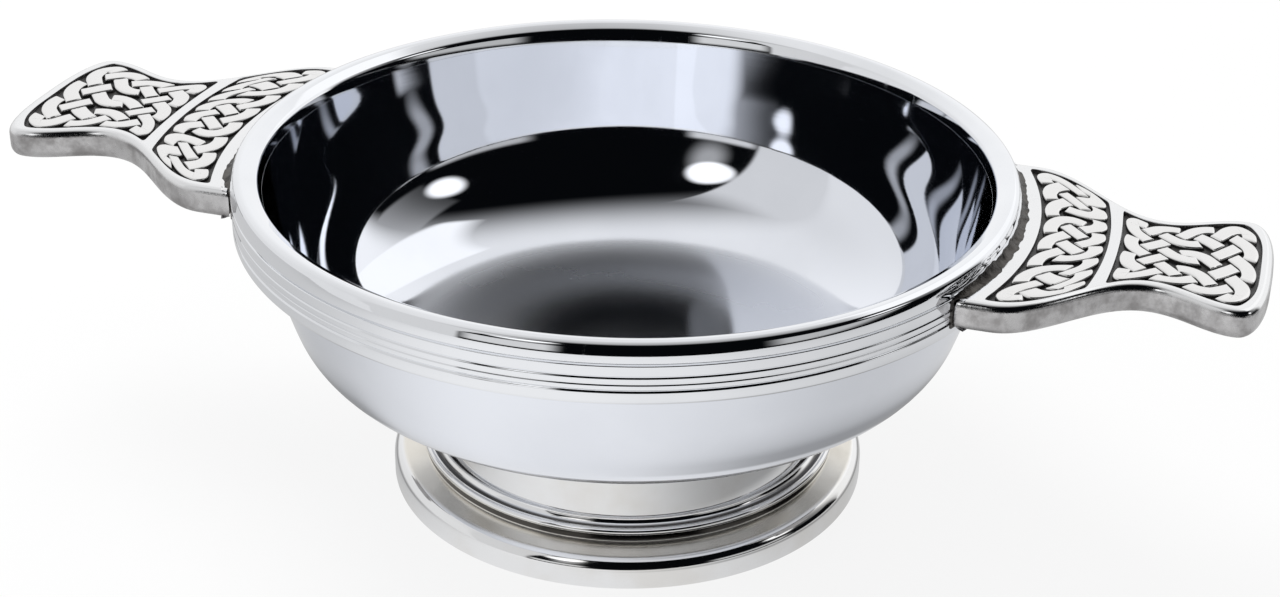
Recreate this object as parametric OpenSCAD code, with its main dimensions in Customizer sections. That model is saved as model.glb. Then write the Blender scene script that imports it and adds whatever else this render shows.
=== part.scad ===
// Quaich: a shallow drinking bowl with two flat lugs, soldered together from spun, cast and turned pewter.
// Millimetres, Z up. The origin is the middle of the foot's rest ring, the lugs lie along X.

/* [Overall] */
// Diameter over the rim band
rim_d = 101.6; // [90:0.1:120]
// Height from the table to the crown of the rim
height = 46; // [42:0.1:56]

/* [Bowl] */
// Thickness of the spun sheet
gauge = 1.6; // [1.2:0.1:2]
// Height of the bowl's flat underside above the table
bowl_lift = 15.6; // [14.6:0.1:16.6]
// Lean of the bowl's wall away from upright at the mouth, degrees
wall_taper = 10.8; // [8:0.2:14]
// Radius of the wall's gentle belly, outside
belly_r = 139; // [110:1:180]
// Radius of the turn between wall and bottom, outside
corner_r = 10; // [8:0.5:13]
// Radius of the flat middle of the bottom
flat_r = 19.4; // [17:0.1:21]
// Radius of the dished bottom round the flat, outside
dish_r = 42; // [36:1:50]

/* [Rim band] */
// Height of the band from its lower edge to its crown
band_h = 7.9; // [6.5:0.1:10]
// Width of the rim seen from above
rim_w = 3.85; // [3.2:0.05:5]
// Rounding of the rim's outer edge
crown_r = 0.6; // [0.4:0.1:1.2]
// Drop from the crown to the inner edge of the rim
lip_drop = 1.5; // [1.1:0.1:1.9]
// Height of the lip that covers the edge of the bowl
lip_h = 1; // [0.6:0.1:1.2]
// Rounding of the band's lower edge
band_under_r = 0.9; // [0.4:0.1:1.2]
// Depth of the first reed line below the crown
reed_first = 2.5; // [2.2:0.1:3.2]
// Step from the first reed line to the second
reed_wide = 1.6; // [1:0.1:1.8]
// Step between the lower reed lines
reed_narrow = 0.9; // [0.6:0.1:1]
// Number of lower reed lines
reed_lower = 2; // [1:1:2]
// Width of a reed line at the surface
reed_w = 0.5; // [0.3:0.05:0.6]
// Depth of a reed line
reed_depth = 0.35; // [0.2:0.05:0.5]

/* [Lugs] */
// Length of the quaich over both lug tips
lug_span = 166.6; // [156:0.1:180]
// Width of a lug at the bowl
lug_root_w = 43; // [38:0.5:48]
// Width of a lug at its waist
lug_waist_w = 20; // [17:0.5:24]
// Width of a lug near its tip
lug_tip_w = 26.8; // [24:0.1:32]
// Distance of the waist from the rim band
lug_waist_out = 18; // [15:0.5:20]
// Length of the rounded end of a lug
lug_end = 3.8; // [3:0.1:5]
// Thickness of a lug
lug_t = 4; // [3:0.1:4.6]
// Drop from the crown of the rim to the top of a lug
lug_drop = 2.8; // [2.4:0.1:3.2]
// Width of the plain border round a lug's top
border_w = 1.6; // [1:0.1:2.2]
// Width of the plain strip along the rim band
root_strip = 2.6; // [2:0.1:3.4]
// Width of the plain bar between the two panels
bar_w = 1.4; // [1:0.1:2]
// Depth of the broad panel next to the rim band
broad_panel = 9; // [8:0.1:10]
// Depth of the sunk ground under the ribbons
sink = 0.8; // [0.4:0.1:1.2]
// Thickness of the black fill on the ground
blacking_t = 0.25; // [0.1:0.05:0.3]

// Gap between the black fill and the metal beside it
blacking_gap = 0.03; // [0.02:0.01:0.06]

/* [Foot] */
// Diameter of the foot
foot_d = 64; // [58:0.5:70]
// Height of the upright edge of the foot
foot_edge_h = 2.45; // [2:0.05:2.8]
// Rounding above the upright edge
foot_edge_r = 1.85; // [1.5:0.05:2]
// Width of the ring that rests on the table
rest_w = 3.4; // [2.6:0.1:4.4]
// Width of the ledge inside the rounded edge
ledge_w = 2.6; // [2.2:0.1:3]
// Rise of the ledge towards the neck
ledge_rise = 0.4; // [0.2:0.05:0.6]
// Height of the groove between ledge and bead
groove_h = 0.85; // [0.6:0.05:1]
// Depth of the groove under the bead
groove_d = 0.35; // [0.2:0.05:0.4]
// Radius of the small bead above the groove
bead_r = 0.5; // [0.4:0.05:0.6]
// Radius of the cove between bead and neck
cove_r = 1.1; // [0.8:0.1:1.3]
// Lean of the neck above the cove
neck_lean = 0.4; // [0.2:0.1:0.8]
// Height over which the neck leans
neck_rise = 7.8; // [6:0.1:8]
// Thickness of the foot's wall at the neck
neck_wall = 2; // [1.4:0.1:2.6]

/* [Solder] */
// Film between soldered faces
solder_gap = 0.1; // [0.05:0.01:0.2]
// Leg of a solder fillet
fillet = 0.8; // [0.5:0.05:1]

/* [Hidden] */
$fn = 96;
round_fn = 720;
arc_steps = 10;
overlap = 0.05;
rim_r = rim_d / 2;

// The bowl's edge meets the underside of the rim's lip.
bowl_top = height - lip_drop - lip_h;
mouth_r = rim_r - rim_w;
mouth_out = mouth_r + gauge / cos(wall_taper);
dish_c = [flat_r, bowl_lift + dish_r];
wall_c = [mouth_out, bowl_top] + belly_r * [-cos(wall_taper), sin(wall_taper)];
// The turn touches the wall's arc and the dish's arc, so its centre is at a known distance from both centres.
centres = dish_c - wall_c;
centres_d = norm(centres);
turn_along = (centres_d ^ 2 + (belly_r - corner_r) ^ 2 - (dish_r - corner_r) ^ 2) / 2 / centres_d;
turn_aside = sqrt((belly_r - corner_r) ^ 2 - turn_along ^ 2);
corner_c = wall_c + (turn_along * centres + turn_aside * [centres[1], -centres[0]]) / centres_d;
dish_end = atan2(corner_c[1] - dish_c[1], corner_c[0] - dish_c[0]);
wall_end = atan2(corner_c[1] - wall_c[1], corner_c[0] - wall_c[0]);

band_low = height - band_h;
foot_r = foot_d / 2;
lug_top = height - lug_drop;
root_r = rim_r + solder_gap;
tip_x = lug_span / 2;
end_x = tip_x - lug_end;
waist_x = rim_r + lug_waist_out;
end_power = 2.6;
root_angle = asin(lug_root_w / 2 / root_r);
ground_z = lug_top - sink;

function arc(c, r, from, to, steps = arc_steps) =
    [for (k = [0 : steps]) let (a = from + (to - from) * k / steps) c + r * [cos(a), sin(a)]];

function flip(points) = [for (k = [len(points) - 1 : -1 : 0]) points[k]];

// Half section of the bowl's skin, moved inwards by inset, from the axis up to the mouth.
function bowl_line(inset) = concat(
    [[0, bowl_lift + inset]],
    arc(dish_c, dish_r - inset, -90, dish_end),
    arc(corner_c, corner_r - inset, dish_end, wall_end),
    arc(wall_c, belly_r - inset, wall_end, -asin((wall_c[1] - bowl_top) / (belly_r - inset))));

// Outer radius of the bowl's wall at height z.
function wall_r(z) = wall_c[0] + sqrt(belly_r ^ 2 - (z - wall_c[1]) ^ 2);

// Height of the dished underside at radius r.
function dish_z(r) = dish_c[1] - sqrt(dish_r ^ 2 - max(r - flat_r, 0) ^ 2);

module bowl_section() {
    polygon(concat(bowl_line(0), flip(bowl_line(gauge))));
}

module bowl() {
    color("gainsboro") rotate_extrude() bowl_section();
}

// The crown falls in one arc from its top to the inner edge of the rim.
crown_c = rim_r - crown_r;
dome_half = crown_c - mouth_r;
dome_r = (dome_half ^ 2 + lip_drop ^ 2) / 2 / lip_drop;
dome_angle = asin(dome_half / dome_r);
reed_lines = concat([reed_first], [for (k = [0 : reed_lower]) reed_first + reed_wide + k * reed_narrow]);

module band_section() {
    difference() {
        polygon(concat(
            arc([rim_r - band_under_r, band_low + band_under_r], band_under_r, -90, 0),
            arc([crown_c, height - crown_r], crown_r, 0, 90),
            arc([crown_c, height - dome_r], dome_r, 90, 90 + dome_angle),
            [
                [mouth_r, bowl_top],
                [mouth_out + solder_gap, bowl_top],
                [wall_r(band_low) + solder_gap, band_low],
            ]));
        for (line = reed_lines)
            translate([rim_r, height - line])
                polygon([[overlap, -reed_w / 2], [overlap, reed_w / 2], [-reed_depth, 0]]);
    }
}

module rim_band() {
    color("whitesmoke") rotate_extrude() band_section();
}

// Solder drawn into the corner under the band.
module rim_seam() {
    wall = wall_r(band_low);
    color("silver") rotate_extrude()
        polygon(concat(
            [[wall, band_low], [wall_r(band_low - fillet), band_low - fillet]],
            flip(arc([wall + fillet, band_low - fillet], fillet, 90, 180))));
}

// Foot, from the table upwards.
ledge_tilt = atan(ledge_rise / ledge_w);
ledge_out = [foot_r - foot_edge_r, foot_edge_h] + foot_edge_r * [sin(ledge_tilt), cos(ledge_tilt)];
ledge_in = ledge_out + [-ledge_w, ledge_rise];
bead_turn = acos(1 - groove_d / bead_r);
bead_c = ledge_in + [groove_d - bead_r, groove_h + bead_r * sin(bead_turn)];
neck_base = bead_c + [-bead_r, 0];
neck_foot_r = neck_base[0] - cove_r;
neck_r = neck_foot_r - neck_lean;
neck_top = dish_z(neck_r);
foot_break = 0.3;

module foot_section() {
    difference() {
        polygon(concat(
            [[foot_r - rest_w, 0], [foot_r - foot_break, 0], [foot_r, foot_break]],
            arc([foot_r - foot_edge_r, foot_edge_h], foot_edge_r, 0, 90 - ledge_tilt),
            [ledge_in],
            arc(bead_c, bead_r, -bead_turn, 180),
            flip(arc(neck_base + [0, cove_r], cove_r, 180, 270)),
            [
                [neck_r, neck_base[1] + cove_r + neck_rise],
                [neck_r, neck_top + neck_wall],
                [neck_r - neck_wall, neck_top + neck_wall],
                [neck_r - neck_wall, neck_base[1]],
            ]));
        translate(dish_c) circle(dish_r + solder_gap, $fn = round_fn);
    }
}

module foot() {
    color("lightgray") rotate_extrude() foot_section();
}

// Solder drawn into the corner between the neck and the bowl.
module foot_seam() {
    color("silver") rotate_extrude()
        polygon(concat(
            flip(arc([neck_r + fillet, neck_top - fillet], fillet, 90, 180)),
            [for (k = [2 : -1 : 0]) let (r = neck_r + fillet * k / 2) [r, dish_z(r)]]));
}

// Half width of a lug at distance x from the axis: full at the root, drawn in at the waist, flared at the tip.
function lug_half(x) =
    x < rim_r ? lug_root_w / 2
    : x < waist_x ? (lug_waist_w + (lug_root_w - lug_waist_w) * (1 + cos(180 * (x - rim_r) / lug_waist_out)) / 2) / 2
    : x < end_x ? (lug_waist_w + (lug_tip_w - lug_waist_w) * (1 - cos(180 * (x - waist_x) / (end_x - waist_x))) / 2) / 2
    : lug_tip_w / 2;

lug_steps = 24;
lug_start = root_r * cos(root_angle) - 2;
lug_side = concat(
    [[lug_start, lug_root_w / 2]],
    [for (k = [0 : lug_steps]) let (x = rim_r + (end_x - rim_r) * k / lug_steps) [x, lug_half(x)]],
    [for (a = [10 : 10 : 90])
        [end_x + lug_end * sin(a) ^ (2 / end_power), lug_tip_w / 2 * cos(a) ^ (2 / end_power)]]);

module lug_outline() {
    difference() {
        polygon(concat(lug_side, [for (p = flip(lug_side)) [p[0], -p[1]]]));
        circle(root_r, $fn = round_fn);
    }
}

// Sunk part of a lug's top, inside the border, in two panels parted by a bar.
broad_in = rim_r + root_strip;
broad_out = broad_in + broad_panel;
tip_in = broad_out + bar_w;

module ring(from, to) {
    difference() {
        circle(to, $fn = round_fn);
        circle(from, $fn = round_fn);
    }
}

module lug_field() {
    intersection() {
        offset(delta = -border_w) lug_outline();
        union() {
            ring(broad_in, broad_out);
            ring(tip_in, tip_x + overlap);
        }
    }
}

module lug() {
    difference() {
        translate([0, 0, lug_top - lug_t]) linear_extrude(lug_t) lug_outline();
        translate([0, 0, ground_z]) linear_extrude(lug_t) lug_field();
    }
}

module lug_blacking() {
    translate([0, 0, ground_z])
        linear_extrude(blacking_t)
            offset(delta = -blacking_gap) lug_field();
}

// Solder film behind the lug's root and the fillet drawn up the band above it.
module lug_seam() {
    rotate([0, 0, -root_angle])
        rotate_extrude(angle = 2 * root_angle) {
            translate([rim_r, lug_top - lug_t]) square([solder_gap, lug_t]);
            translate([rim_r, lug_top])
                difference() {
                    square(fillet);
                    translate([fillet, fillet]) circle(fillet);
                }
        }
}

module right_lug() {
    color("white") lug();
}

module right_lug_blacking() {
    color("black") lug_blacking();
}

module right_lug_seam() {
    color("dimgray") lug_seam();
}

module left_lug() {
    color("white") rotate([0, 0, 180]) lug();
}

module left_lug_blacking() {
    color("black") rotate([0, 0, 180]) lug_blacking();
}

module left_lug_seam() {
    color("dimgray") rotate([0, 0, 180]) lug_seam();
}

bowl();
rim_band();
rim_seam();
foot();
foot_seam();
right_lug();
right_lug_blacking();
right_lug_seam();
left_lug();
left_lug_blacking();
left_lug_seam();
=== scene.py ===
# %% [markdown]
# # A pewter quaich, dressed in Blender
# A quaich is a shallow drinking bowl with two flat lugs to hold it by. This one is pewter: the bowl is
# spun from sheet, the rim band and the foot are turned, the lugs are cast, and solder holds them
# together. The solids are ready, so this lesson keeps their sizes and makes what they leave out: soft
# edges, true curves for the reflections, the plaited ribbons on the lugs, and the finishes.

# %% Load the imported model
import math
import bmesh
import bpy
import numpy as np
from functools import reduce
from mathutils import Matrix, Vector


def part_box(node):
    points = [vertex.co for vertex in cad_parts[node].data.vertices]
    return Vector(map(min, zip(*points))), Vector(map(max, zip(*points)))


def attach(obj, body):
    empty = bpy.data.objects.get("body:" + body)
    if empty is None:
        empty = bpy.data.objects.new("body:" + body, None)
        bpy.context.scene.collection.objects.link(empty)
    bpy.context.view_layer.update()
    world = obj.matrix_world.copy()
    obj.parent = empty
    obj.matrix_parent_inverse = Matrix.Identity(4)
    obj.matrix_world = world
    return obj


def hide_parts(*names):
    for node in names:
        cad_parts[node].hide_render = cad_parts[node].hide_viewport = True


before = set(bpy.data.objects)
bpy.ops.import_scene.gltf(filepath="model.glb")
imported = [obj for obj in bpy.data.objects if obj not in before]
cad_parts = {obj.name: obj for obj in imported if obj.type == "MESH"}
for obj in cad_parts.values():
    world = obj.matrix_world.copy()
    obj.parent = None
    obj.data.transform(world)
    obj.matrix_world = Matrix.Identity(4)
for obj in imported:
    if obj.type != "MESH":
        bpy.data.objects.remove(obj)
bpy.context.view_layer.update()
print("solids:", ", ".join(sorted(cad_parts)))

# %% [markdown]
# ## The camera
# The picture was taken from a little to the right of the middle, about 30 cm from the bowl and 17 cm
# above the table. Blender could track the bowl with a constraint, but a picture is seldom cut out evenly.
# A slightly long lens, turned a few degrees in each direction, gives the same ellipses for rim, mouth and
# foot. The frame of the picture sits to one side of the lens's axis, so the lens is shifted as on a view
# camera.

# %% Stand the camera
MM = 0.001
CAMERA_AZIMUTH = math.radians(16.68)
CAMERA_ELEVATION = math.radians(28.39)
CAMERA_DISTANCE = 304.8
CAMERA_TARGET_Z = 22.0
CAMERA_PITCH = math.radians(27.79)
CAMERA_TURN = math.radians(7.15)
CAMERA_ROLL = math.radians(4.14)


def camera_matrix():
    """Place and axes of the camera, worked out from its angles round the bowl."""
    heading = CAMERA_AZIMUTH - CAMERA_TURN
    ahead = Vector((-math.sin(heading) * math.cos(CAMERA_PITCH),
                    math.cos(heading) * math.cos(CAMERA_PITCH),
                    -math.sin(CAMERA_PITCH)))
    right = Vector((math.cos(heading), math.sin(heading), 0.0))
    up = right.cross(ahead)
    across = right * math.cos(CAMERA_ROLL) + up * math.sin(CAMERA_ROLL)
    upward = up * math.cos(CAMERA_ROLL) - right * math.sin(CAMERA_ROLL)
    place = Vector((math.sin(CAMERA_AZIMUTH) * math.cos(CAMERA_ELEVATION),
                    -math.cos(CAMERA_AZIMUTH) * math.cos(CAMERA_ELEVATION),
                    math.sin(CAMERA_ELEVATION))) * CAMERA_DISTANCE
    place.z += CAMERA_TARGET_Z
    turn = Matrix((across, upward, -ahead)).transposed().to_4x4()
    return Matrix.Translation(place * MM) @ turn


def put(name, data):
    """A new object in the scene."""
    made = bpy.data.objects.new(name, data)
    bpy.context.scene.collection.objects.link(made)
    return made


lens = bpy.data.cameras.new("view_lens")
lens.sensor_fit = "HORIZONTAL"
lens.sensor_width = 36.0
lens.lens = 63.09
lens.shift_x = -0.188
lens.shift_y = 0.0054
lens.clip_start = 0.01
lens.clip_end = 50.0
camera = put("view_camera", lens)
camera.matrix_world = camera_matrix()
bpy.context.scene.camera = camera
print("camera at", [round(v, 4) for v in camera.location])

# %% [markdown]
# ## Sizes
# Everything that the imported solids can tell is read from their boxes, in millimetres. The few sizes below
# them are the maker's choices that a box doesn't show, such as the gauge of the sheet.

# %% Read the sizes


def box_mm(node):
    """Lowest and highest corner of a solid, in millimetres."""
    low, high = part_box(node)
    return np.array(low) * 1000.0, np.array(high) * 1000.0


bowl_low, bowl_high = box_mm("bowl")
band_low, band_high = box_mm("rim_band")
foot_high = box_mm("foot")[1]
lug_low, lug_high = box_mm("right_lug")
black_low, black_high = box_mm("right_lug_blacking")

RIM_R = band_high[0]
CROWN_Z = band_high[2]
BAND_Z = band_low[2]
BOWL_Z = bowl_low[2]
BOWL_TOP = bowl_high[2]
MOUTH_OUT = bowl_high[0]
FOOT_R = foot_high[0]
LUG_TOP = lug_high[2]
LUG_UNDER = lug_low[2]
LUG_TIP = lug_high[0]
LUG_ROOT_HALF = lug_high[1]
GROUND_Z = black_low[2]
FILL_Z = black_high[2]

GAUGE = 1.6
WALL_TAPER = math.radians(10.8)
BELLY_R = 139.0
CORNER_R = 10.0
DISH_R = 42.0
FLAT_R = 19.4
print("rim radius", round(RIM_R, 2), "crown", round(CROWN_Z, 2), "lug top", round(LUG_TOP, 2))

# %% [markdown]
# ## Turning on a lathe
# Bowl, band and foot are all bodies of revolution. A Screw modifier would do, but a mesh written ring by
# ring closes exactly on the axis and keeps the rings dense where the section bends, which is what a
# mirror finish needs. The corners of a section are eased first, as a turner eases every edge with a
# cloth.

# %% Ease the corners of a section
SHARP_BEND = math.radians(20.0)
SIDE_SHARE = 0.4
ON_AXIS = 1e-6


def arc(centre, radius, start, end, steps=14):
    """Points on a circle, angles in degrees."""
    angles = np.radians(np.linspace(start, end, steps + 1))
    return [(centre[0] + radius * math.cos(a), centre[1] + radius * math.sin(a)) for a in angles]


def corner(before, here, after, reach, steps):
    """A rounded corner that leaves its two sides at a distance of reach."""
    before, here, after = map(np.array, (before, here, after))
    first = here + (before - here) / np.linalg.norm(before - here) * reach
    last = here + (after - here) / np.linalg.norm(after - here) * reach
    shares = np.linspace(0, 1, steps + 1)
    return [tuple((1 - t) ** 2 * first + 2 * t * (1 - t) * here + t ** 2 * last) for t in shares]


def eased(section, reach=0.12, steps=4):
    """Rounds each corner of a closed section; repeated points are dropped first."""
    section = np.array([p for k, p in enumerate(section) if math.dist(p, section[k - 1]) > 1e-4])
    result = []
    for before, here, after in zip(np.roll(section, 1, 0), section, np.roll(section, -1, 0)):
        back = before - here
        ahead = after - here
        lengths = np.linalg.norm(back), np.linalg.norm(ahead)
        bend = math.pi - math.acos(np.clip(back @ ahead / lengths[0] / lengths[1], -1, 1))
        if bend < SHARP_BEND or here[0] < ON_AXIS:
            result.append(tuple(here))
            continue
        result += corner(before, here, after, min(reach, SIDE_SHARE * min(lengths)), steps)
    return result


print("corners of more than", round(math.degrees(SHARP_BEND)), "degrees are eased")

# %% Turn a section
TURNS = 288


def open_mesh(name, points, faces):
    """A mesh from points in millimetres, opened for editing."""
    mesh = bpy.data.meshes.new(name)
    mesh.from_pydata((np.array(points) * MM).tolist(), [], faces)
    shape = bmesh.new()
    shape.from_mesh(mesh)
    return mesh, shape


def close_mesh(name, mesh, shape, crease):
    """Turns the faces outwards, smooths them and puts the object in the scene."""
    bmesh.ops.recalc_face_normals(shape, faces=shape.faces)
    shape.to_mesh(mesh)
    shape.free()
    mesh.shade_smooth()
    mesh.set_sharp_from_angle(angle=math.radians(crease))
    return put(name, mesh)


def finish_mesh(name, points, faces, crease=40.0):
    """A smooth, closed object from points in millimetres."""
    mesh, shape = open_mesh(name, points, faces)
    bmesh.ops.remove_doubles(shape, verts=shape.verts, dist=1e-6)
    return close_mesh(name, mesh, shape, crease)


def turned(name, section, crease=40.0):
    """Turns a closed section of (radius, height) points about the Z axis."""
    angles = np.linspace(0, 2 * math.pi, TURNS, endpoint=False)
    points = []
    rings = []
    for radius, z in section:
        if radius < ON_AXIS:
            rings.append([len(points)] * TURNS)
            points.append((0.0, 0.0, z))
            continue
        rings.append(list(range(len(points), len(points) + TURNS)))
        points.extend((radius * math.cos(a), radius * math.sin(a), z) for a in angles)
    faces = []
    for k in range(len(rings)):
        lower = rings[k - 1]
        upper = rings[k]
        for t in range(TURNS):
            n = (t + 1) % TURNS
            corners = []
            for v in (lower[t], lower[n], upper[n], upper[t]):
                if v not in corners:
                    corners.append(v)
            if len(corners) > 2:
                faces.append(corners)
    return finish_mesh(name, points, faces, crease)


def stands_for(piece, node):
    """The piece rides on the root body and hides the node's plain solid."""
    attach(piece, "root")
    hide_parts(node)
    print(piece.name, len(piece.data.polygons), "faces for", node)


print("every turn has", TURNS, "steps")

# %% [markdown]
# ## The bowl
# A disc of sheet pewter is spun over a former: a flat middle, a dished bottom, one round turn, and a wall
# that leans out. The spinner's tool draws the sheet a little thinner in the turn, so the inside has a
# line of its own. Arcs that only touch leave a visible break in a mirror, because the curvature jumps. So
# each line is averaged over a few millimetres, as the tool rubs it, and bends more slowly.

# %% Find the round turn outside
dish_centre = np.array((FLAT_R, BOWL_Z + DISH_R))
wall_centre = np.array((MOUTH_OUT - BELLY_R * math.cos(WALL_TAPER),
                        BOWL_TOP + BELLY_R * math.sin(WALL_TAPER)))
to_dish = dish_centre - wall_centre
apart = np.linalg.norm(to_dish)
along = (apart ** 2 + (BELLY_R - CORNER_R) ** 2 - (DISH_R - CORNER_R) ** 2) / 2 / apart
aside = math.sqrt((BELLY_R - CORNER_R) ** 2 - along ** 2)
turn_centre = wall_centre + (along * to_dish + aside * np.array((to_dish[1], -to_dish[0]))) / apart
dish_end = math.degrees(math.atan2(*(turn_centre - dish_centre)[::-1]))
wall_end = math.degrees(math.atan2(*(turn_centre - wall_centre)[::-1]))
print("the turn's middle lies at", turn_centre.round(2))

# %% Rub a line smooth
BEYOND = 8.0


def distances(line):
    """How far along a line each of its points lies."""
    return np.concatenate(([0], np.cumsum(np.linalg.norm(np.diff(line, axis=0), axis=1))))


def smoothed(line, lean, rub=1.5, spacing=0.25, keep=3):
    """A half section from axis to mouth, averaged along its length; lean is the wall's at the mouth."""
    line = np.array(line)
    rim = line[-1]
    steps = distances(line)
    total = steps[-1]
    at = np.arange(-BEYOND, total + BEYOND, spacing)
    radius = np.interp(np.abs(at), steps, line[:, 0]) * np.sign(at + 1e-9)
    height = np.interp(np.abs(at), steps, line[:, 1])
    past = at > total
    radius[past] = rim[0] + math.sin(lean) * (at[past] - total)
    height[past] = rim[1] + math.cos(lean) * (at[past] - total)
    width = int(rub / spacing)
    window = np.hanning(2 * width + 3)[1:-1]
    window /= window.sum()
    radius = np.convolve(radius, window, "same")
    height = np.convolve(height, window, "same")
    between_ends = (at > spacing / 2) & (at < total - spacing / 2)
    points = list(zip(radius[between_ends][::keep], height[between_ends][::keep]))
    return [(0.0, float(height[np.argmin(np.abs(at))]))] + points + [tuple(rim)]


outside = [(0.0, BOWL_Z)]
outside += arc(dish_centre, DISH_R, -90, dish_end, 240)
outside += arc(turn_centre, CORNER_R, dish_end, wall_end, 120)[1:]
outside += arc(wall_centre, BELLY_R, wall_end, -math.degrees(WALL_TAPER), 160)[1:]
outside = smoothed(outside, WALL_TAPER)
print("outside line", len(outside), "points")

# %% Spin the bowl
FLOOR_Z = 17.0
WELL_R = 26.0
TURN_R = 17.0
WELL_SLOPE = math.radians(28.0)
WALL_LEAN = math.radians(11.0)
INSIDE_RUB = 6.0
MOUTH_R = MOUTH_OUT - GAUGE / math.cos(WALL_TAPER)
turn_z = FLOOR_Z + WELL_R - (WELL_R - TURN_R) * math.cos(WELL_SLOPE)
turn_x = MOUTH_R - (TURN_R + math.sin(WALL_LEAN) * (BOWL_TOP - turn_z)) / math.cos(WALL_LEAN)
well_x = turn_x - (WELL_R - TURN_R) * math.sin(WELL_SLOPE)
inside = [(0.0, FLOOR_Z)]
well_end = math.degrees(WELL_SLOPE) - 90
inside += arc((well_x, FLOOR_Z + WELL_R), WELL_R, -90, well_end, 160)
inside += arc((turn_x, turn_z), TURN_R, well_end, -math.degrees(WALL_LEAN), 160)[1:]
inside += [(MOUTH_R, BOWL_TOP)]
inside = smoothed(inside, WALL_LEAN, INSIDE_RUB)
bowl = turned("spun_bowl", outside + inside[::-1])
stands_for(bowl, "bowl")

# %% [markdown]
# ## The rim band
# A thick turned ring is soldered round the mouth. Its crown is a low ridge with a soft edge on either
# side and a small lip that covers the edge of the sheet. Four fine lines are cut round its face. A bump
# map would show the lines only from the front, so they are cut in the section, with soft sides that catch
# the light.

# %% Turn the rim band
UNDER_R = 0.9
SOLDER_GAP = 0.1
LINE_DEPTHS = (2.5, 4.1, 5.0, 5.9)
LINE_CUTS = (0.30, 0.12, 0.08, 0.18)
LINE_W = 0.5
FACE_DROP = 1.7
EDGE_IN = 0.45
EDGE_DROP = 0.4
RIDGE_IN = 1.6
RIDGE_RISE = 0.15
LIP_OUT = 0.43
LIP_RISE = 1.6
BAND_EASE = 0.03
CROWN_EASE = (0.6, 0.32, 0.8, 0.4)
CROWN_STEPS = (10, 10, 14, 10)


def wall_radius(z):
    """Outer radius of the bowl's wall at a height."""
    return wall_centre[0] + math.sqrt(BELLY_R ** 2 - (z - wall_centre[1]) ** 2)


def cut_line(z, deep):
    """A soft groove across the band's face, from its lower to its upper edge."""
    across = np.linspace(-1, 1, 13)
    cut = deep * (0.5 + 0.5 * np.cos(math.pi * across))
    return [(RIM_R - c, z + LINE_W / 2 * a) for a, c in zip(across, cut)]


face_edge = (RIM_R, CROWN_Z - FACE_DROP)
outer_edge = (RIM_R - EDGE_IN, CROWN_Z - EDGE_DROP)
ridge = (RIM_R - RIDGE_IN, CROWN_Z + RIDGE_RISE)
inner_edge = (MOUTH_R + LIP_OUT, BOWL_TOP + LIP_RISE)
lip = (MOUTH_R, BOWL_TOP)
crown = [(RIM_R, BAND_Z), face_edge, outer_edge, ridge, inner_edge, lip]
band_section = arc((RIM_R - UNDER_R, BAND_Z + UNDER_R), UNDER_R, -90, -12, 10)
for depth, deep in reversed(list(zip(LINE_DEPTHS, LINE_CUTS))):
    band_section += cut_line(CROWN_Z - depth, deep)
for k, (reach, steps) in enumerate(zip(CROWN_EASE, CROWN_STEPS)):
    band_section += corner(*crown[k:k + 3], reach, steps)
band_section += [
    lip,
    (MOUTH_OUT + SOLDER_GAP, BOWL_TOP),
    (wall_radius(BAND_Z) + SOLDER_GAP, BAND_Z),
]
rim_band = turned("rim_band_reeded", eased(band_section, BAND_EASE))
stands_for(rim_band, "rim_band")

# %% [markdown]
# ## The foot
# The foot is turned from a casting: an upright edge, a round shoulder that runs into a broad ledge, a
# groove, a bead, a cove and a neck under the bowl. A few stacked rings would do from afar, but each of
# these throws its own light and dark line, so the section keeps every one and only eases the corners
# between.

# %% Turn the foot
EDGE_H = 2.45
SHOULDER_R = 1.85
REST_W = 3.4
LEDGE_W = 2.6
LEDGE_RISE = 0.4
GROOVE_H = 0.85
GROOVE_D = 0.35
BEAD_R = 0.5
COVE_R = 1.1
NECK_LEAN = 0.4
NECK_RISE = 7.8
NECK_WALL = 2.0
FOOT_BREAK = 0.3
FOOT_EASE = 0.16
SOLDER_LEG = 0.8


def dish_height(radius, gap=0.0):
    """Height of the bowl's underside at a radius, less a gap for the solder."""
    return BOWL_Z + DISH_R - math.sqrt((DISH_R + gap) ** 2 - max(radius - FLAT_R, 0.0) ** 2)


ledge_tilt = math.atan2(LEDGE_RISE, LEDGE_W)
ledge_out = (FOOT_R - SHOULDER_R * (1 - math.sin(ledge_tilt)),
             EDGE_H + SHOULDER_R * math.cos(ledge_tilt))
ledge_in = (ledge_out[0] - LEDGE_W, ledge_out[1] + LEDGE_RISE)
bead_turn = math.acos(1 - GROOVE_D / BEAD_R)
bead_mid = (ledge_in[0] + GROOVE_D - BEAD_R, ledge_in[1] + GROOVE_H + BEAD_R * math.sin(bead_turn))
cove_mid = (bead_mid[0] - BEAD_R, bead_mid[1] + COVE_R)
neck_r = cove_mid[0] - COVE_R - NECK_LEAN


def neck_line(steps=14):
    """The neck leans in from the cove and stands upright under the bowl."""
    shares = np.linspace(0, 1, steps + 1)[1:]
    return [(cove_mid[0] - COVE_R - NECK_LEAN * t, cove_mid[1] + NECK_RISE * t) for t in shares]


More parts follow.
